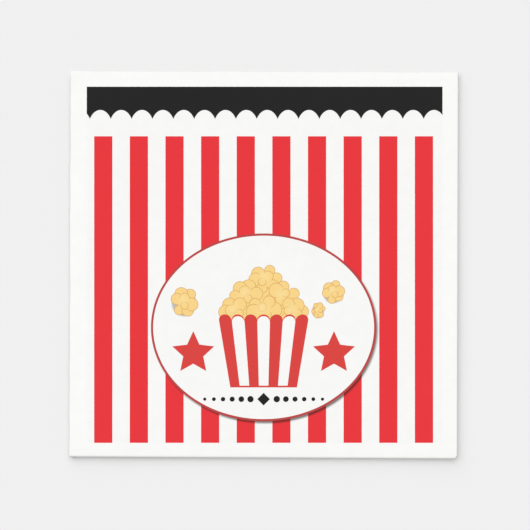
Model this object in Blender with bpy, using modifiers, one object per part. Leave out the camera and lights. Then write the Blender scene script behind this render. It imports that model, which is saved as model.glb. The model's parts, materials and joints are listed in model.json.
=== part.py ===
"""A three-ply paper napkin, folded in quarters and lying flat with its printed panel up.

The open sheet is twice SIDE square. It was folded once across its width, which made the right edge, and once
across its height, which made the bottom edge. The folded stack holds four panels, and each panel holds its share
of the three plies. Every fold is split along its outermost line, so that each panel is its own rigid body and its
plies end in quarter-round lips that meet the next panel's lips.

Metres. +X is the print's right, +Y its top and +Z the way it faces. The origin is the centre of the underside.
"""

import math

import bmesh
import bpy
from mathutils import Vector

NAME = "paper_napkin"

# Driving sizes.
SIDE = 0.165
PLY = 0.0001
PLY_GAP = 0.00005
PANEL_GAP = 0.00026
LIP_CLEARANCE = 0.00002
CORNER_RADIUS = 0.0012
FIRST_FOLD_SLIP = 0.0012
SECOND_FOLD_SLIP = 0.001

LIP_STEPS = 5
CORNER_STEPS = 4

# Panels from the bottom of the stack up: name, whether the printed side faces up, and how far its cut edges at
# the left and the top fall short of the square, because neither fold was made quite at the middle.
PANELS = (
    ("rear", False, 0.0, SECOND_FOLD_SLIP),
    ("inner_rear", True, FIRST_FOLD_SLIP, SECOND_FOLD_SLIP),
    ("inner_front", False, FIRST_FOLD_SLIP, 0.0),
    ("front", True, 0.0, 0.0),
)
PLIES_FROM_PRINTED_SIDE = ("cover", "middle", "backing")

# Worked out from the driving sizes.
PLY_COUNT = len(PLIES_FROM_PRINTED_SIDE)
PANEL = PLY_COUNT * PLY + (PLY_COUNT - 1) * PLY_GAP
LEVEL = PANEL + PANEL_GAP
STACK = len(PANELS) * LEVEL - PANEL_GAP
HALF = SIDE / 2

# The first fold's two bends each join a pair of panels, and the second fold's bend goes round all four.
FIRST_BEND_RADIUS = PANEL + PANEL_GAP / 2
SECOND_BEND_RADIUS = STACK / 2
MIDDLE_HEIGHT = STACK / 2
LOWER_PAIR_HEIGHT = PANEL + PANEL_GAP / 2
UPPER_PAIR_HEIGHT = STACK - LOWER_PAIR_HEIGHT
FLAT_RIGHT = HALF - FIRST_BEND_RADIUS
FLAT_BOTTOM = -HALF + SECOND_BEND_RADIUS

# Each panel turns about the outermost line of the bend that joins it to its parent panel.
HINGES = {
    "inner_rear": (None, Vector((0, 0, 0))),
    "inner_front": ("inner_rear", Vector((0, -HALF, MIDDLE_HEIGHT))),
    "front": ("inner_front", Vector((HALF, 0, UPPER_PAIR_HEIGHT))),
    "rear": ("inner_rear", Vector((HALF, 0, LOWER_PAIR_HEIGHT))),
}


def clear_scene():
    for obj in list(bpy.data.objects):
        bpy.data.objects.remove(obj)


def make_material(name, colour, roughness):
    material = bpy.data.materials.new(name)
    material.use_nodes = True
    shader = material.node_tree.nodes["Principled BSDF"]
    shader.inputs["Base Color"].default_value = (*colour, 1)
    shader.inputs["Roughness"].default_value = roughness
    shader.inputs["Metallic"].default_value = 0
    return material


def make_panel_empties(collection):
    """One empty for each panel, at the hinge it turns on, parented along the chain of folds."""
    empties = {}
    for name, (parent, place) in HINGES.items():
        empty = bpy.data.objects.new(name + "_panel", None)
        collection.objects.link(empty)
        empty.location = place
        if parent:
            empty.parent = empties[parent]
            empty.location = place - HINGES[parent][1]
        empties[name] = empty
    return empties


def lip_angle(radius):
    """How far a ply bends before it comes within the clearance of the plane where its fold is split."""
    return math.acos(LIP_CLEARANCE / radius)


def add_lip(bm, edge, bend_centre, along, height_above_bend):
    """Turns a quarter-round lip out of a straight edge, down towards the bend's centre or up towards it."""
    bmesh.ops.spin(
        bm,
        geom=[edge.verts[0], edge.verts[1], edge],
        cent=bend_centre,
        axis=along * math.copysign(1, height_above_bend),
        dvec=(0, 0, 0),
        angle=lip_angle(abs(height_above_bend)),
        steps=LIP_STEPS,
    )


def ply_surface(height, pair_height, left_short, top_short):
    """The middle surface of one ply of one panel, in the ply's own plane, with a lip at each fold."""
    corner_centre = Vector((FLAT_RIGHT - CORNER_RADIUS, FLAT_BOTTOM + CORNER_RADIUS, 0))
    outline = [
        Vector((HALF - SIDE + left_short, HALF - top_short, 0)),
        Vector((HALF - SIDE + left_short, FLAT_BOTTOM, 0)),
    ]
    for step in range(CORNER_STEPS + 1):
        turn = -math.pi / 2 * (1 - step / CORNER_STEPS)
        outline.append(corner_centre + CORNER_RADIUS * Vector((math.cos(turn), math.sin(turn), 0)))
    outline.append(Vector((FLAT_RIGHT, HALF - top_short, 0)))

    bm = bmesh.new()
    verts = [bm.verts.new(point) for point in outline]
    bm.faces.new(verts)
    bottom_edge = bm.edges.get((verts[1], verts[2]))
    right_edge = bm.edges.get((verts[-2], verts[-1]))
    above_pair = height - pair_height
    above_middle = height - MIDDLE_HEIGHT
    add_lip(bm, right_edge, (FLAT_RIGHT, 0, -above_pair), Vector((0, 1, 0)), above_pair)
    add_lip(bm, bottom_edge, (0, FLAT_BOTTOM, -above_middle), Vector((1, 0, 0)), above_middle)
    bmesh.ops.recalc_face_normals(bm, faces=bm.faces)
    return bm


def make_ply(name, height, pair_height, left_short, top_short, material):
    bm = ply_surface(height, pair_height, left_short, top_short)
    mesh = bpy.data.meshes.new(name)
    bm.to_mesh(mesh)
    bm.free()
    mesh.materials.append(material)
    ply = bpy.data.objects.new(name, mesh)
    thickness = ply.modifiers.new("ply thickness", "SOLIDIFY")
    thickness.thickness = PLY
    thickness.offset = 0
    thickness.use_even_offset = True
    return ply


def main():
    clear_scene()
    collection = bpy.data.collections.new(NAME)
    bpy.context.scene.collection.children.link(collection)
    tissue = make_material("tissue", (0.94, 0.935, 0.91), 0.9)
    printed_tissue = make_material("printed_tissue", (0.81, 0.045, 0.056), 0.85)
    empties = make_panel_empties(collection)

    for level, (panel, print_up, left_short, top_short) in enumerate(PANELS):
        in_upper_pair = level * LEVEL > MIDDLE_HEIGHT
        pair_height = UPPER_PAIR_HEIGHT if in_upper_pair else LOWER_PAIR_HEIGHT
        plies_from_below = PLIES_FROM_PRINTED_SIDE[::-1] if print_up else PLIES_FROM_PRINTED_SIDE
        for place, ply_kind in enumerate(plies_from_below):
            height = level * LEVEL + place * (PLY + PLY_GAP) + PLY / 2
            printed = panel == "front" and ply_kind == "cover"
            ply = make_ply(
                f"{panel}_{ply_kind}_ply",
                height,
                pair_height,
                left_short,
                top_short,
                printed_tissue if printed else tissue,
            )
            collection.objects.link(ply)
            ply.parent = empties[panel]
            ply.location = Vector((0, 0, height)) - HINGES[panel][1]


main()
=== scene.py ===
"""The looks of a three-ply paper party napkin, folded in quarters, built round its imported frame.

Lengths are in metres, and the print's own sizes in millimetres. +X is the print's right, +Y its top, and +Z
the way it faces.
"""

import json
import math

import bmesh
import bpy
import numpy as np
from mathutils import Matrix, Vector


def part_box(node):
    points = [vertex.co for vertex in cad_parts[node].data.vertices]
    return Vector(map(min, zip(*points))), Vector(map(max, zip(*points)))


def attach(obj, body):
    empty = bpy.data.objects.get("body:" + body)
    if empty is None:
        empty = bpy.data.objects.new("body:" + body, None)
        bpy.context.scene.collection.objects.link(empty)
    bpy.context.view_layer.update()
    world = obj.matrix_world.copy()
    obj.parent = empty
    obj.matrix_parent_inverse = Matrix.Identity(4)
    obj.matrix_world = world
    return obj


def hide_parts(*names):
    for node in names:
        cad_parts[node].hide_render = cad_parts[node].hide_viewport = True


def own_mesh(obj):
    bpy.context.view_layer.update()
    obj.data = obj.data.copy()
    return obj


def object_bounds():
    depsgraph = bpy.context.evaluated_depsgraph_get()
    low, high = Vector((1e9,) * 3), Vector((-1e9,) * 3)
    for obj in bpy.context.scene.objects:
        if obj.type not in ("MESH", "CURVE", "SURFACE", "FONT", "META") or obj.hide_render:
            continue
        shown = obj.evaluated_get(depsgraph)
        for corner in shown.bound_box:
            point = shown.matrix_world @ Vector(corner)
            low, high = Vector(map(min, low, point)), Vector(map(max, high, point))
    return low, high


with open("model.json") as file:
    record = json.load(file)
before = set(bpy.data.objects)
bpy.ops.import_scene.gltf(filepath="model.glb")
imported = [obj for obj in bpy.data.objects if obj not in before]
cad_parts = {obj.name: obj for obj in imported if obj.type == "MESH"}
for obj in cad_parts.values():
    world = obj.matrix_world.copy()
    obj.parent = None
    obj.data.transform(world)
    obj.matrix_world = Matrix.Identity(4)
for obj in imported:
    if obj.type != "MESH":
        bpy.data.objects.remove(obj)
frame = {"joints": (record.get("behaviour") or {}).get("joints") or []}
cad_low, cad_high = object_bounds()

MM = 0.001

# ---------------------------------------------------------------- sizes, mostly worked out from the frame
HINGES = {joint["name"]: Vector(joint["pos_m"]) for joint in frame["joints"]}
HALF = HINGES["first_fold_front"].x
STACK = cad_high.z
MIDDLE = HINGES["second_fold"].z
UPPER_PAIR = HINGES["first_fold_front"].z
LOWER_PAIR = HINGES["first_fold_rear"].z
LEVEL = (UPPER_PAIR - LOWER_PAIR) / 2
PANEL_GAP = 4 * LEVEL - STACK
PANEL = LEVEL - PANEL_GAP
PLY = 0.1 * MM
PLY_GAP = (PANEL - 3 * PLY) / 2
# The first fold is pressed a little inside the square, and the second leans up to the left by this slope.
FIRST_FOLD_TUCK = 0.13 * MM
SECOND_FOLD_SKEW = 0.0022
FLAT_RIGHT = HALF - PANEL - PANEL_GAP / 2 - FIRST_FOLD_TUCK
FLAT_BOTTOM = -HALF + STACK / 2
LIP_CLEARANCE = 0.01 * MM

PANELS = ("rear", "inner_rear", "inner_front", "front")
PRINT_UP = {"inner_rear", "front"}
PLIES = ("cover", "middle", "backing")

# ---------------------------------------------------------------- the soft shape of the folded stack
GRID_STEP = 2.2 * MM
FOLD_STEP = 0.7 * MM
FOLD_STRIP = 4 * MM
LIP_STEPS = 10
LIP_SQUARENESS = 3.4
NOSE_SPACING = 0.72
SWELL_RIGHT = 0.04 * MM
SWELL_BOTTOM = 0.20 * MM
SWELL_REACH = 14 * MM
SETTLE_REACH = 7 * MM
SPLAY_HEIGHT = 0.22 * MM
SPLAY_REACH = 16 * MM
RIPPLE_HEIGHT = 0.05 * MM
RIPPLE_LENGTH = 38 * MM
RIPPLE_BASE = 1.2
EDGE_WANDER = 0.10 * MM
EDGE_WANDER_LENGTH = 22 * MM
EDGE_FADE_POWER = 8
PLY_STAGGER = 0.12 * MM
# Where a folded edge stands up: its side, the place along it, then height, length and reach inwards.
PUFFS = (
    ("right", -22 * MM, 0.30 * MM, 42 * MM, 12 * MM),
    ("bottom", -62 * MM, 0.22 * MM, 10 * MM, 12 * MM),
    ("bottom", 78 * MM, 0.25 * MM, 16 * MM, 12 * MM),
)
CORNER_RADIUS = 1.9 * MM
LEFT_TRIM = -0.4 * MM
TOP_TRIM = 0.17 * MM
UNDERCUT = {"rear": 0.7 * MM, "inner_rear": 0.1 * MM, "inner_front": 0.3 * MM, "front": 0}
EDGE_DROP = 0.07 * MM
EDGE_DROP_REACH = 2.4 * MM
CUT_STRIP = 3 * MM
INK_LIFT = 0.008 * MM

# ---------------------------------------------------------------- the print's place, in millimetres
ART_CENTRE = (0.06, 0.11)
ART_WIDTH = 151.68
ART_HEIGHT = 151.84
ART_TURN = math.radians(0.17)
ART_SKIN_MARGIN = 0.6
INK_RAGGEDNESS = 0.12


def smooth_bumps(x, y, seed, wavelength, count=7):
    """A gentle relief of about plus or minus one, from plane waves of seeded directions and phases."""
    random = np.random.default_rng(seed)
    total = np.zeros(np.broadcast(x, y).shape)
    for _ in range(count):
        heading = random.uniform(0, 2 * math.pi)
        wave_number = 2 * math.pi / (wavelength * random.uniform(0.7, 1.6))
        phase = random.uniform(0, 2 * math.pi)
        total = total + np.sin(wave_number * (x * math.cos(heading) + y * math.sin(heading)) + phase)
    return total / math.sqrt(count)


def stack_lift(x, y):
    """How much the top of the stack stands above its pressed height at a place."""
    from_right = np.clip(HALF - x, 0, None)
    from_bottom = np.clip(HALF + y, 0, None)
    from_left = np.clip(HALF + x, 0, None)
    from_top = np.clip(HALF - y, 0, None)

    def swell(distance):
        ratio = distance / SWELL_REACH
        return ratio * np.exp(1 - ratio)

    def settle(distance):
        return 1 - np.exp(-((distance / SETTLE_REACH) ** 2))

    lift = SWELL_RIGHT * swell(from_right) + SWELL_BOTTOM * swell(from_bottom)
    lift = lift + SPLAY_HEIGHT * np.exp(-np.hypot(from_left, from_top) / SPLAY_REACH)
    lift = lift - EDGE_DROP * (np.exp(-from_left / EDGE_DROP_REACH) + np.exp(-from_top / EDGE_DROP_REACH))
    ripple = RIPPLE_HEIGHT * (RIPPLE_BASE + smooth_bumps(x, y, seed=4, wavelength=RIPPLE_LENGTH))
    lift = lift + ripple * settle(from_right) * settle(from_bottom)
    for side, middle, height, length, reach in PUFFS:
        distance, position = (from_right, y) if side == "right" else (from_bottom, x)
        along_fold = np.exp(-(((position - middle) / length) ** 2))
        inwards = np.exp(-((distance / reach) ** 2))
        lift = lift + height * along_fold * inwards
    return lift


def edge_wander(along, seed):
    """The slight waver of a cut edge."""
    return EDGE_WANDER * smooth_bumps(along, 0 * along, seed, wavelength=EDGE_WANDER_LENGTH, count=4)


def ply_height(level, place):
    return level * LEVEL + place * (PLY + PLY_GAP) + PLY / 2


def second_fold_reach(from_middle):
    """How far a ply's bend goes past the flat part at the second fold, where the plies press closer."""
    outermost = (STACK - PLY) / 2
    return outermost - NOSE_SPACING * (outermost - np.abs(from_middle))


def lip_profile(radius):
    """Reach and height round a fold's bend, as shares of its radius, on a curve squarer than a circle."""
    power = 2 / LIP_SQUARENESS
    end = math.acos(min(1.0, LIP_CLEARANCE / radius) ** (1 / power))
    angles = np.linspace(0, end, LIP_STEPS + 1)[1:]
    return np.sin(angles) ** power, np.cos(angles) ** power


def stations(*stops):
    """Places from the cut edge to the start of the bend, through every stop and closer near the fold."""
    fold = stops[-1]
    strip = fold + math.copysign(FOLD_STRIP, stops[0] - fold)
    places = [np.array(stops[:1])]
    for start, end in zip(stops[:-1], (*stops[1:-1], strip), strict=True):
        count = max(1, round(abs(end - start) / GRID_STEP))
        places.append(np.linspace(start, end, count + 1)[1:])
    places.append(np.linspace(strip, fold, round(FOLD_STRIP / FOLD_STEP) + 1)[1:])
    return np.concatenate(places)


def art_limits():
    """The left, right, top and bottom of the skin that carries the print."""
    half_wide = (ART_WIDTH / 2 + ART_SKIN_MARGIN) * MM
    half_tall = (ART_HEIGHT / 2 + ART_SKIN_MARGIN) * MM
    x, y = ART_CENTRE[0] * MM, ART_CENTRE[1] * MM
    return x - half_wide, x + half_wide, y + half_tall, y - half_tall


def round_corner(points):
    """Eases the corner where the two folds meet into a quarter circle, seen from above."""
    across = np.clip((points[..., 0] - (HALF - CORNER_RADIUS)) / CORNER_RADIUS, 0, 1)
    down = np.clip((-points[..., 1] - (HALF - CORNER_RADIUS)) / CORNER_RADIUS, 0, 1)
    points[..., 0] += CORNER_RADIUS * across * (np.sqrt(1 - down**2 / 2) - 1)
    points[..., 1] -= CORNER_RADIUS * down * (np.sqrt(1 - across**2 / 2) - 1)


def ply_points(height, cut_left, cut_top, seed):
    """The grid of a ply's middle surface: rows run down from the top cut edge and round the second fold."""
    in_upper_pair = height > MIDDLE
    pair = UPPER_PAIR if in_upper_pair else LOWER_PAIR
    first_radius = abs(height - pair)
    towards_pair = math.copysign(1, pair - height)

    art_left, art_right, art_top, art_bottom = art_limits()
    xs = stations(cut_left, art_left, art_right, FLAT_RIGHT)
    reach, rise = lip_profile(first_radius)
    columns_x = np.concatenate([xs, FLAT_RIGHT + first_radius * reach])
    columns_drop = np.concatenate([0 * xs, towards_pair * first_radius * (1 - rise)])
    ys = stations(cut_top, art_top, art_bottom, FLAT_BOTTOM)

    x, y = np.meshgrid(columns_x, ys)
    drop = np.broadcast_to(columns_drop, x.shape)
    left_share = np.clip((FLAT_RIGHT - x) / (FLAT_RIGHT - cut_left), 0, 1)
    top_share = np.clip((y - FLAT_BOTTOM) / (cut_top - FLAT_BOTTOM), 0, 1)
    x = x + left_share**EDGE_FADE_POWER * edge_wander(y, seed)
    y = y + top_share**EDGE_FADE_POWER * edge_wander(x, seed + 1)
    rest = height + drop
    flat = np.stack([x, y, rest], axis=-1)

    # The bend at the second fold carries the whole cross-section round, the first fold's lip included.
    from_middle = rest[-1] - MIDDLE
    rows = []
    for reach, rise in zip(*lip_profile(abs(height - MIDDLE)), strict=True):
        bent_y = FLAT_BOTTOM - second_fold_reach(from_middle) * reach
        rows.append(np.stack([x[-1], bent_y, MIDDLE + from_middle * rise], axis=-1))
    points = np.concatenate([flat, np.stack(rows)])
    bottom_share = np.clip((cut_top - points[..., 1]) / (cut_top - FLAT_BOTTOM), 0, 1)
    points[..., 1] += SECOND_FOLD_SKEW * (HALF - points[..., 0]) * bottom_share**EDGE_FADE_POWER
    points[..., 2] *= 1 + stack_lift(points[..., 0], points[..., 1]) / STACK
    round_corner(points)
    return points


def grid_mesh(name, points):
    """A mesh of quads over a grid of points, facing up where the grid runs right and down the page."""
    rows, columns, _ = points.shape
    bm = bmesh.new()
    verts = [bm.verts.new(point) for point in points.reshape(-1, 3)]
    for row in range(rows - 1):
        for column in range(columns - 1):
            corner = row * columns + column
            ring = (corner + columns, corner + columns + 1, corner + 1, corner)
            bm.faces.new([verts[i] for i in ring])
    for edge in bm.edges:
        edge.smooth = not edge.is_boundary
    for face in bm.faces:
        face.smooth = True
    mesh = bpy.data.meshes.new(name)
    bm.to_mesh(mesh)
    bm.free()
    obj = bpy.data.objects.new(name, mesh)
    bpy.context.scene.collection.objects.link(obj)
    return obj


def apply_modifiers(obj):
    evaluated = obj.evaluated_get(bpy.context.evaluated_depsgraph_get())
    mesh = bpy.data.meshes.new_from_object(evaluated)
    obj.modifiers.clear()
    obj.data = mesh


# ---------------------------------------------------------------- materials
FLOOR_ALBEDO = 0.80
FLOOR_SHOWN = 0.871
LIGHT_GAIN = FLOOR_SHOWN / FLOOR_ALBEDO


def srgb(red, green, blue):
    """The linear reflectance that the lights show as a display colour of 0 to 255."""

    def linear(value):
        share = value / 255
        return share / 12.92 if share <= 0.04045 else ((share + 0.055) / 1.055) ** 2.4

    return tuple(linear(value) / LIGHT_GAIN for value in (red, green, blue))


WHITE = srgb(250, 249.6, 247.6)
# The colour of the upright cut edges, darkened as painted shade.
CUT_EDGE_SHADE = srgb(196, 195, 192)
PRINTED_WHITE = srgb(247.6, 247.3, 245.4)
STRIPE_RED = srgb(232, 56, 62)
BADGE_RED = srgb(218, 70, 66)
BLACK = srgb(35.5, 35.5, 35.5)
CREAM = srgb(248, 213, 138)
CREAM_LIGHT = srgb(252, 225, 160)
CREAM_EDGE = srgb(214, 160, 88)
BADGE_RIM = srgb(188, 72, 70)
BADGE_SHADOW = srgb(72, 38, 34)
KERNEL_SHADOW = srgb(104, 92, 84)

CLOUD_TONE = 0.058
FIBRE_TONE = 0.08
CREPE_STRETCH = (0.28, 2.6, 0.5)
CREPE_SHARE = 0.7
CREPE_HEIGHT = 0.05 * MM


class NodePainter:
    """Builds colours and distances from nodes, and paints shapes over each other in millimetres."""

    def __init__(self, material):
        self.nodes = material.node_tree.nodes
        self.links = material.node_tree.links
        metres = self.nodes.new("ShaderNodeTexCoord").outputs["Object"]
        self.solid_mm = self.scaled(metres, (1 / MM, 1 / MM, 1 / MM), (0, 0, 0))

    def feed(self, socket, value):
        if isinstance(value, bpy.types.NodeSocket):
            self.links.new(value, socket)
        else:
            socket.default_value = value

    def scaled(self, vector, factors, shift):
        node = self.nodes.new("ShaderNodeVectorMath")
        node.operation = "MULTIPLY_ADD"
        self.links.new(vector, node.inputs[0])
        node.inputs[1].default_value = factors
        node.inputs[2].default_value = shift
        return node.outputs[0]

    def turned(self, x, y, angle):
        """The two coordinates seen from axes turned anticlockwise by that angle."""
        across = self.math("MULTIPLY_ADD", y, math.sin(angle), self.times(x, math.cos(angle)))
        up = self.math("MULTIPLY_ADD", x, -math.sin(angle), self.times(y, math.cos(angle)))
        return across, up

    def math(self, operation, *values, clamp=False):
        node = self.nodes.new("ShaderNodeMath")
        node.operation = operation
        node.use_clamp = clamp
        for socket, value in zip(node.inputs, values, strict=False):
            self.feed(socket, value)
        return node.outputs[0]

    def add(self, a, b):
        return self.math("ADD", a, b)

    def less(self, a, b):
        return self.math("SUBTRACT", a, b)

    def times(self, a, b):
        return self.math("MULTIPLY", a, b)

    def both(self, *distances):
        """The overlap of shapes."""
        joined = distances[0]
        for distance in distances[1:]:
            joined = self.math("MAXIMUM", joined, distance)
        return joined

    def either(self, *distances):
        """The union of shapes."""
        joined = distances[0]
        for distance in distances[1:]:
            joined = self.math("MINIMUM", joined, distance)
        return joined

    def absolute(self, a):
        return self.math("ABSOLUTE", a)

    def axes(self, vector):
        node = self.nodes.new("ShaderNodeSeparateXYZ")
        self.links.new(vector, node.inputs[0])
        return node.outputs[0], node.outputs[1]

    def vector(self, x, y):
        node = self.nodes.new("ShaderNodeCombineXYZ")
        self.feed(node.inputs[0], x)
        self.feed(node.inputs[1], y)
        return node.outputs[0]

    def length(self, vector):
        node = self.nodes.new("ShaderNodeVectorMath")
        node.operation = "LENGTH"
        self.links.new(vector, node.inputs[0])
        return node.outputs["Value"]

    def circle(self, place, x, y, radius):
        node = self.nodes.new("ShaderNodeVectorMath")
        node.operation = "DISTANCE"
        self.links.new(place, node.inputs[0])
        node.inputs[1].default_value = (x, y, 0)
        return self.less(node.outputs["Value"], radius)

    def span(self, coordinate, low, high):
        """Inside between two values of a coordinate."""
        middle = (low + high) / 2
        return self.less(self.absolute(self.less(coordinate, middle)), (high - low) / 2)

    def ellipse(self, place, x, y, wide, tall):
        """About the distance from an ellipse with those half widths."""
        unit_place = self.scaled(place, (1 / wide, 1 / tall, 0), (-x / wide, -y / tall, 0))
        return self.times(self.less(self.length(unit_place), 1), min(wide, tall))

    def inside(self, distance, softness=0.08):
        """One inside a shape and nought outside it, with an edge that is softness wide."""
        return self.math("MULTIPLY_ADD", distance, -1 / softness, 0.5, clamp=True)

    def mix(self, factor, first, second):
        node = self.nodes.new("ShaderNodeMix")
        node.data_type = "RGBA"
        self.feed(node.inputs[0], factor)
        for socket, colour in ((node.inputs[6], first), (node.inputs[7], second)):
            self.feed(socket, colour if isinstance(colour, bpy.types.NodeSocket) else (*colour, 1))
        return node.outputs[2]

    def noise(self, place, scale, detail=2.0, stretch=(1, 1, 1), offset=0.0):
        """Noise of about scale features to the unit of place, near 0.5."""
        node = self.nodes.new("ShaderNodeTexNoise")
        node.inputs["Scale"].default_value = scale
        node.inputs["Detail"].default_value = detail
        self.links.new(self.scaled(place, stretch, (offset, offset, offset)), node.inputs["Vector"])
        return node.outputs["Fac"]


def painted_edge_shade(painter):
    """One on a ply's upright cut edges, whose colour is darkened there as painted shade, and nought
    elsewhere.
    """
    facing = painter.nodes.new("ShaderNodeSeparateXYZ")
    painter.links.new(painter.nodes.new("ShaderNodeTexCoord").outputs["Normal"], facing.inputs[0])
    upright = painter.math("LESS_THAN", painter.absolute(facing.outputs[2]), 0.5)
    x, y = painter.axes(painter.solid_mm)
    near_left = painter.math("LESS_THAN", x, (CUT_STRIP - HALF) / MM)
    near_top = painter.math("GREATER_THAN", y, (HALF - CUT_STRIP) / MM)
    return painter.times(upright, painter.math("MAXIMUM", near_left, near_top))


def tissue_material(name, paint=None):
    """Creped tissue: fine ridges across the sheet, matted fibres, a cloudy formation and a matt finish."""
    material = bpy.data.materials.new(name)
    material.use_nodes = True
    painter = NodePainter(material)
    shader = material.node_tree.nodes["Principled BSDF"]

    crepe = painter.noise(painter.solid_mm, 1.0, 3.0, stretch=CREPE_STRETCH)
    fibres = painter.noise(painter.solid_mm, 5.5, 3.0)
    clouds = painter.noise(painter.solid_mm, 0.22, 4.0)

    # On the upright cut edges the white is darkened as painted shade.
    colour = paint(painter) if paint else painter.mix(painted_edge_shade(painter), WHITE, CUT_EDGE_SHADE)
    formation = painter.math("MULTIPLY_ADD", clouds, CLOUD_TONE, 1 - CLOUD_TONE / 2)
    fibre_tone = painter.math("MULTIPLY_ADD", fibres, FIBRE_TONE, 1 - FIBRE_TONE / 2)
    tone = painter.times(formation, fibre_tone)
    toned = painter.nodes.new("ShaderNodeVectorMath")
    toned.operation = "SCALE"
    painter.links.new(colour, toned.inputs[0])
    painter.links.new(tone, toned.inputs["Scale"])
    painter.links.new(toned.outputs[0], shader.inputs["Base Color"])

    relief = painter.add(painter.times(crepe, CREPE_SHARE), painter.times(fibres, 1 - CREPE_SHARE))
    bump = painter.nodes.new("ShaderNodeBump")
    bump.inputs["Strength"].default_value = 0.5
    bump.inputs["Distance"].default_value = CREPE_HEIGHT
    painter.links.new(relief, bump.inputs["Height"])
    painter.links.new(bump.outputs[0], shader.inputs["Normal"])

    roughness = painter.math("MULTIPLY_ADD", fibres, 0.12, 0.84)
    painter.links.new(roughness, shader.inputs["Roughness"])
    shader.inputs["Specular IOR Level"].default_value = 0.12
    shader.inputs["Sheen Weight"].default_value = 0.04
    return material


# ---------------------------------------------------------------- what is printed, in millimetres
BAND_TO_BUMP = 9.93
BUMP_PITCH = 8.893
BUMP_HALF_WIDTH = 5.2
BUMP_HALF_HEIGHT = 8.0
FIRST_CUSP = 1.35
STRIPE_COUNT = 10
STRIPE_WIDTH = 7.76
STRIPE_PITCH = 15.192
FIRST_STRIPE = 3.155
STRIPES_BELOW_TOP = 21.13
BADGE_CENTRE = (-0.43, -26.69)
BADGE_INNER_HALF = (47.1, 39.1)
BADGE_OUTLINE = 0.94
BADGE_SHADOW_SHIFT = (0.62, -0.90)
BADGE_SHADOW_BLUR = 0.95
BADGE_SHADOW_DEPTH = 0.80

TUB_TOP = 2.8
TUB_BOTTOM = -25.6
TUB_TOP_HALF = 19.0
TUB_BOTTOM_HALF = 14.2
TUB_STRIPES = 7
TUB_EDGE = 0.75
STAR_PLACE = (30.0, -11.0)
STAR_RADIUS = 9.4
STAR_INNER_RADIUS = 4.5
DIVIDER_Y = -30.6
DIVIDER_DIAMOND = 2.7
DIVIDER_DOTS = 6
DIVIDER_FIRST_DOT = 5.6
DIVIDER_DOT_PITCH = 3.9
DIVIDER_DOT_RADIUS = 1.35

# Circles that fill the heap behind its kernels: place from the badge's centre, then radius.
HEAP_FILL = (
    (0.5, 16.0, 5.0),
    (-4.5, 9.5, 7.5),
    (5.0, 9.0, 7.5),
)
# Popped kernels: place from the badge's centre, width, height and turn in degrees, the farthest back first.
HEAP = (
    ((0.8, 20.6), 14.0, 12.2, 10),
    ((-7.4, 13.8), 14.0, 13.0, 70),
    ((8.2, 13.2), 14.2, 13.0, 200),
    ((-12.4, 6.6), 13.4, 13.0, 120),
    ((12.4, 6.4), 13.4, 12.8, 300),
    ((0.2, 7.0), 15.0, 13.4, 250),
)
LOOSE_KERNELS = (
    ((-33.7, 10.9), 11.6, 12.8, 50),
    ((29.8, 15.1), 9.4, 9.8, 75),
    ((23.4, 7.3), 5.7, 6.6, 130),
)
KERNEL_LOBES = 6
KERNEL_LINE = 0.22
KERNEL_SHADOW_SHIFT = (-0.25, -0.40)
KERNEL_SHADOW_BLUR = 0.7
KERNEL_SHADOW_DEPTH = 0.5


def band_distance(painter, x, y):
    """The dark band, whose lower edge is cut by a row of white bumps."""
    half = ART_WIDTH / 2
    top = ART_HEIGHT / 2
    bump_centre = top - BAND_TO_BUMP - BUMP_HALF_HEIGHT
    cusp_rise = BUMP_HALF_HEIGHT * math.sqrt(1 - (BUMP_PITCH / 2 / BUMP_HALF_WIDTH) ** 2)
    bar = painter.both(painter.span(x, -half, half), painter.span(y, bump_centre + cusp_rise, top))
    from_cusp = painter.math("FLOORED_MODULO", painter.add(x, half - FIRST_CUSP), BUMP_PITCH)
    bump_place = painter.vector(painter.less(from_cusp, BUMP_PITCH / 2), painter.less(y, bump_centre))
    bump = painter.ellipse(bump_place, 0, 0, BUMP_HALF_WIDTH, BUMP_HALF_HEIGHT)
    return painter.both(bar, painter.times(bump, -1))


def stripes_distance(painter, x, y):
    start = -ART_WIDTH / 2 + FIRST_STRIPE
    end = start + (STRIPE_COUNT - 1) * STRIPE_PITCH + STRIPE_WIDTH
    along = painter.math("FLOORED_MODULO", painter.less(x, start), STRIPE_PITCH)
    stripe = painter.less(painter.absolute(painter.less(along, STRIPE_WIDTH / 2)), STRIPE_WIDTH / 2)
    field = painter.span(x, start, end)
    field = painter.both(field, painter.span(y, -ART_HEIGHT / 2, ART_HEIGHT / 2 - STRIPES_BELOW_TOP))
    return painter.both(stripe, field)


def star_distance(painter, place):
    """A five-pointed star round the origin, from one of its ten equal edges folded over all of them."""
    x, y = painter.axes(place)
    turn = painter.math("ARCTAN2", x, y)
    wedge = 2 * math.pi / 5
    in_wedge = painter.math("FLOORED_MODULO", painter.add(turn, wedge / 2), wedge)
    folded = painter.absolute(painter.less(in_wedge, wedge / 2))
    reach = painter.length(place)
    along = painter.times(reach, painter.math("COSINE", folded))
    across = painter.times(reach, painter.math("SINE", folded))
    inner_along = STAR_INNER_RADIUS * math.cos(wedge / 2)
    inner_across = STAR_INNER_RADIUS * math.sin(wedge / 2)
    edge = Vector((inner_along - STAR_RADIUS, inner_across)).normalized()
    outward = (edge.y, -edge.x)
    return painter.add(
        painter.times(painter.less(along, STAR_RADIUS), outward[0]),
        painter.times(across, outward[1]),
    )


def paint_lobes(painter, place, colour, lobes, outline):
    """Round lobes one over another, each inside a thin darker line."""
    for x, y, radius in lobes:
        lobe = painter.circle(place, x, y, radius)
        if outline:
            colour = painter.mix(painter.inside(painter.less(lobe, outline)), colour, CREAM_EDGE)
        colour = painter.mix(painter.inside(lobe), colour, CREAM)
    return colour


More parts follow.
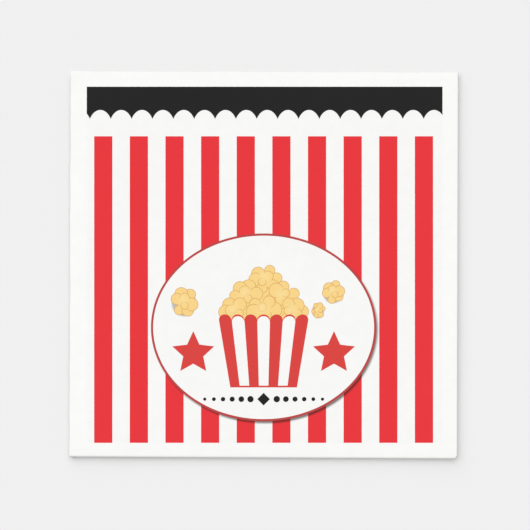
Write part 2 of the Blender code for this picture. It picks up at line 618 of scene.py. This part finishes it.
def paint_kernel(painter, place, colour, centre, width, height, turn):
    """A popped kernel: uneven lobes round a plain core, with two curls and a lighter upper left."""
    size = min(width, height)
    x, y = centre
    rim = []
    for index in range(KERNEL_LOBES):
        angle = math.radians(turn + index * 360 / KERNEL_LOBES + 8 * math.sin(2.3 * index + turn))
        radius = size * (0.20 + 0.035 * math.sin(1.7 * index + turn))
        across = (width / 2 - radius) * math.cos(angle)
        up = (height / 2 - radius) * math.sin(angle)
        rim.append((x + across, y + up, radius))
    colour = paint_lobes(painter, place, colour, rim, KERNEL_LINE)

    heading = math.radians(turn + 40)
    curl_x = 0.13 * width * math.cos(heading)
    curl_y = 0.13 * height * math.sin(heading)
    colour = paint_lobes(painter, place, colour, [(x + curl_x, y + curl_y, 0.17 * size)], KERNEL_LINE)
    colour = paint_lobes(painter, place, colour, [(x - 0.4 * curl_x, y - 0.4 * curl_y, 0.25 * size)], 0)
    colour = paint_lobes(painter, place, colour, [(x - 1.2 * curl_x, y - curl_y, 0.13 * size)], KERNEL_LINE)
    glow = painter.circle(place, x - 0.05 * width, y + 0.08 * height, 0.10 * size)
    return painter.mix(painter.inside(glow, softness=0.3 * size), colour, CREAM_LIGHT)


def scalloped(painter, in_stripe, y, bottom, top, radius):
    """Everything between two heights, with a half circle on top of every stripe."""
    cap = painter.circle(painter.vector(in_stripe, painter.less(y, top)), 0, 0, radius)
    return painter.either(painter.span(y, bottom, top), cap)


def paint_tub(painter, place, colour):
    """A tapered red tub with a scalloped rim, its white stripes thinly edged in red above and below."""
    x, y = painter.axes(place)
    slope = (TUB_TOP_HALF - TUB_BOTTOM_HALF) / (TUB_TOP - TUB_BOTTOM)
    half_width = painter.math("MULTIPLY_ADD", painter.less(y, TUB_BOTTOM), slope, TUB_BOTTOM_HALF)
    stripe_width = 2 * TUB_TOP_HALF / TUB_STRIPES
    stripe_at = painter.times(
        painter.math("MULTIPLY_ADD", painter.math("DIVIDE", x, half_width), 0.5, 0.5), TUB_STRIPES
    )
    in_stripe = painter.times(painter.less(painter.math("FRACT", stripe_at), 0.5), stripe_width)
    side = painter.less(painter.absolute(x), half_width)
    tub = painter.both(side, scalloped(painter, in_stripe, y, TUB_BOTTOM, TUB_TOP, stripe_width / 2))
    colour = painter.mix(painter.inside(tub), colour, BADGE_RED)

    red_stripe = painter.less(painter.math("FLOORED_MODULO", stripe_at, 2), 1)
    white_stripe = painter.both(
        scalloped(painter, in_stripe, y, TUB_BOTTOM + TUB_EDGE, TUB_TOP - TUB_EDGE, stripe_width / 2),
        painter.times(red_stripe, -stripe_width),
        painter.span(stripe_at, 0.5, TUB_STRIPES - 0.5),
    )
    return painter.mix(painter.inside(white_stripe), colour, PRINTED_WHITE)


def paint_divider(painter, place, colour):
    """A diamond with a row of shrinking dots on each side."""
    x, y = painter.axes(place)
    sideways = painter.absolute(x)
    level = painter.less(y, DIVIDER_Y)
    diamond = painter.less(painter.add(sideways, painter.absolute(level)), DIVIDER_DIAMOND)
    colour = painter.mix(painter.inside(diamond), colour, BLACK)
    mirrored = painter.vector(sideways, level)
    for index in range(DIVIDER_DOTS):
        reach = DIVIDER_FIRST_DOT + DIVIDER_DOT_PITCH * index
        radius = DIVIDER_DOT_RADIUS * (1 - 0.6 * index / DIVIDER_DOTS)
        colour = painter.mix(painter.inside(painter.circle(mirrored, reach, 0, radius)), colour, BLACK)
    return colour


def paint_badge(painter, art_place, colour):
    place = painter.scaled(art_place, (1, 1, 0), (-BADGE_CENTRE[0], -BADGE_CENTRE[1], 0))
    x, y = painter.axes(place)
    wide, tall = BADGE_INNER_HALF

    outer_half = (wide + BADGE_OUTLINE, tall + BADGE_OUTLINE)
    shadow = painter.ellipse(place, *BADGE_SHADOW_SHIFT, *outer_half)
    shade = painter.times(painter.inside(shadow, softness=BADGE_SHADOW_BLUR), BADGE_SHADOW_DEPTH)
    colour = painter.mix(shade, colour, BADGE_SHADOW)
    outer = painter.ellipse(place, 0, 0, *outer_half)
    inner = painter.ellipse(place, 0, 0, wide, tall)
    colour = painter.mix(painter.inside(outer), colour, BADGE_RIM)
    colour = painter.mix(painter.inside(inner), colour, PRINTED_WHITE)

    colour = paint_lobes(painter, place, colour, HEAP_FILL, 0)
    for kernel in HEAP:
        colour = paint_kernel(painter, place, colour, *kernel)
    colour = paint_tub(painter, place, colour)
    from_star_x = painter.less(painter.absolute(x), STAR_PLACE[0])
    from_star_y = painter.less(y, STAR_PLACE[1])
    mirrored = painter.vector(from_star_x, from_star_y)
    colour = painter.mix(painter.inside(star_distance(painter, mirrored)), colour, BADGE_RED)
    colour = paint_divider(painter, place, colour)
    for centre, width, height, turn in LOOSE_KERNELS:
        shadow_x = centre[0] + KERNEL_SHADOW_SHIFT[0]
        shadow_y = centre[1] + KERNEL_SHADOW_SHIFT[1]
        under = painter.ellipse(place, shadow_x, shadow_y, 0.45 * width, 0.45 * height)
        shade = painter.times(painter.inside(under, softness=KERNEL_SHADOW_BLUR), KERNEL_SHADOW_DEPTH)
        colour = painter.mix(shade, colour, KERNEL_SHADOW)
        colour = paint_kernel(painter, place, colour, centre, width, height, turn)
    return colour


def paint_print(painter):
    """The whole print, very slightly turned on the sheet, its ink edges a little ragged from the fibres."""
    ragged = painter.noise(painter.solid_mm, 1.6, 2.0)
    shift = painter.math("MULTIPLY_ADD", ragged, INK_RAGGEDNESS, -INK_RAGGEDNESS / 2)
    from_centre = painter.scaled(painter.solid_mm, (1, 1, 0), (-ART_CENTRE[0], -ART_CENTRE[1], 0))
    x, y = painter.turned(*painter.axes(from_centre), ART_TURN)
    x = painter.add(x, shift)
    y = painter.add(y, shift)
    place = painter.vector(x, y)

    half_wide, half_tall = ART_WIDTH / 2, ART_HEIGHT / 2
    ground = painter.both(painter.span(x, -half_wide, half_wide), painter.span(y, -half_tall, half_tall))
    colour = painter.mix(painter.inside(ground, softness=0.8), WHITE, PRINTED_WHITE)
    colour = painter.mix(painter.inside(stripes_distance(painter, x, y)), colour, STRIPE_RED)
    colour = painter.mix(painter.inside(band_distance(painter, x, y)), colour, BLACK)
    return paint_badge(painter, place, colour)


# ---------------------------------------------------------------- the pieces
def add_ply(panel, ply, material):
    level = PANELS.index(panel)
    place = PLIES[::-1].index(ply) if panel in PRINT_UP else PLIES.index(ply)
    node = f"{panel}_{ply}_ply"
    low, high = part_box(node)
    seed = 10 * level + place
    stagger = PLY_STAGGER * (place - 1)
    setback = UNDERCUT[panel] + abs(stagger)
    cut_left = low.x + LEFT_TRIM + setback
    cut_top = high.y - TOP_TRIM - setback
    points = ply_points(ply_height(level, place), cut_left, cut_top, seed)
    piece = grid_mesh(f"{panel}_{ply}_tissue", points)
    thickness = piece.modifiers.new("ply thickness", "SOLIDIFY")
    thickness.thickness = PLY
    thickness.offset = 0
    apply_modifiers(piece)
    piece.data.materials.append(material)
    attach(piece, f"{panel}_panel")
    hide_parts(node)
    return piece, points


def add_print(points, material):
    """The inked part of the front cover ply, a skin just above the ply that follows it point for point."""
    left, right, top, bottom = art_limits()
    columns_kept = (points[-1, :, 0] > left - FOLD_STEP / 2) & (points[-1, :, 0] < right + FOLD_STEP / 2)
    rows_kept = (points[:, -1, 1] < top + FOLD_STEP / 2) & (points[:, -1, 1] > bottom - FOLD_STEP / 2)
    skin = points[rows_kept][:, columns_kept] + (0, 0, PLY / 2 + INK_LIFT)
    piece = grid_mesh("front_cover_print", skin)
    piece.data.materials.append(material)
    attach(piece, "front_panel")
    return piece


tissue = tissue_material("white tissue")
printed = tissue_material("printed tissue", paint=paint_print)

for panel in PANELS:
    for ply in PLIES:
        is_printed = (panel, ply) == ("front", "cover")
        piece, points = add_ply(panel, ply, tissue)
        on_it = [add_print(points, printed)] if is_printed else []
        if panel == "front":
            for soft in (piece, *on_it):
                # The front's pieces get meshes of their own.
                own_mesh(soft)

# ---------------------------------------------------------------- floor, light and camera
SKY = 0.38
SUN_STRENGTH = 2.80
SUN_ELEVATION = 53
SUN_HEADING = 118
SUN_ANGLE = 92
FLOOR_SIZE = 12.0
FLOOR_BELOW = 0.02 * MM
CAMERA_DISTANCE = 1.2
FRAME_WIDTH = 0.2260
FRAME_CENTRE = (0.22 * MM, 0.01 * MM)


def add_floor():
    bpy.ops.mesh.primitive_plane_add(size=FLOOR_SIZE, location=(0, 0, -FLOOR_BELOW))
    floor = bpy.context.object
    floor.name = "floor"
    material = bpy.data.materials.new("pale floor")
    material.use_nodes = True
    shader = material.node_tree.nodes["Principled BSDF"]
    shader.inputs["Base Color"].default_value = (FLOOR_ALBEDO, FLOOR_ALBEDO, FLOOR_ALBEDO, 1)
    shader.inputs["Roughness"].default_value = 1.0
    shader.inputs["Specular IOR Level"].default_value = 0.0
    floor.data.materials.append(material)


def add_light():
    world = bpy.data.worlds.new("soft sky")
    world.use_nodes = True
    background = world.node_tree.nodes["Background"]
    background.inputs["Color"].default_value = (1, 1, 1, 1)
    background.inputs["Strength"].default_value = SKY
    bpy.context.scene.world = world
    lamp = bpy.data.lights.new("key", "SUN")
    key = bpy.data.objects.new("key", lamp)
    bpy.context.scene.collection.objects.link(key)
    elevation = math.radians(SUN_ELEVATION)
    heading = math.radians(SUN_HEADING)
    level_reach = math.cos(elevation)
    towards = Vector(
        (
            level_reach * math.cos(heading),
            level_reach * math.sin(heading),
            math.sin(elevation),
        )
    )
    key.rotation_mode = "QUATERNION"
    key.rotation_quaternion = towards.to_track_quat("Z", "Y")
    lamp.angle = math.radians(SUN_ANGLE)
    lamp.energy = SUN_STRENGTH


def add_camera():
    data = bpy.data.cameras.new("camera")
    camera = bpy.data.objects.new("camera", data)
    bpy.context.scene.collection.objects.link(camera)
    camera.location = (*FRAME_CENTRE, STACK + CAMERA_DISTANCE)
    camera.rotation_euler.z = ART_TURN
    data.lens = data.sensor_width * CAMERA_DISTANCE / FRAME_WIDTH
    data.clip_start = 0.1
    data.clip_end = 20
    bpy.context.scene.camera = camera


add_floor()
add_light()
add_camera()
bpy.context.scene.view_settings.view_transform = "Standard"
